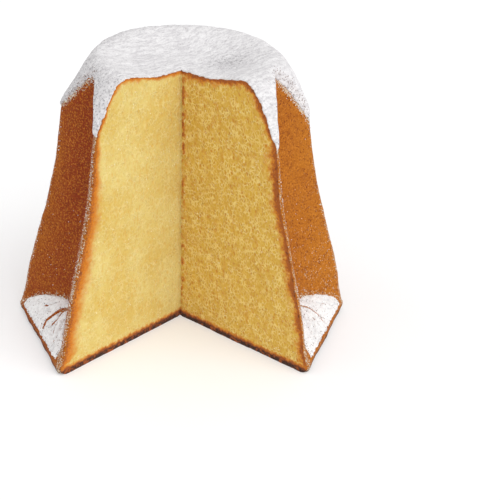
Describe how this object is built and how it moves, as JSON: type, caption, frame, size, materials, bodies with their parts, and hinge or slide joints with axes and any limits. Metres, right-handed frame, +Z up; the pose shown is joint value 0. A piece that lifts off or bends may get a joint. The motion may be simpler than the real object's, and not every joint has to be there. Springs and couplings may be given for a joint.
{
  "type": "pandoro",
  "caption": "Tall star-shaped sweet loaf, wide end down, with a quarter cut out to show its yellow crumb and icing sugar on its crown and ledges.",
  "frame": {"origin": "on the axis of the whole loaf, in the plane that it stands on", "axes": "+Z up along the axis of the loaf; -Y out of the missing quarter; the points of the star every 45 degrees from -Y"},
  "size_m": [0.2382, 0.2046, 0.1944],
  "materials": {
    "crust_and_crumb": "matt baked crust outside, soft yellow crumb on the cut faces",
    "icing_sugar": "dry powder, matt and slightly lumpy"
  },
  "bodies": {
    "root": {"pandoro_loaf": "crust_and_crumb", "icing_sugar_cap": "icing_sugar", "icing_sugar_ledge_1": "icing_sugar", "icing_sugar_ledge_2": "icing_sugar", "icing_sugar_ledge_3": "icing_sugar", "icing_sugar_ledge_4": "icing_sugar", "icing_sugar_ledge_5": "icing_sugar", "icing_sugar_ledge_6": "icing_sugar"}
  },
  "joints": []
}
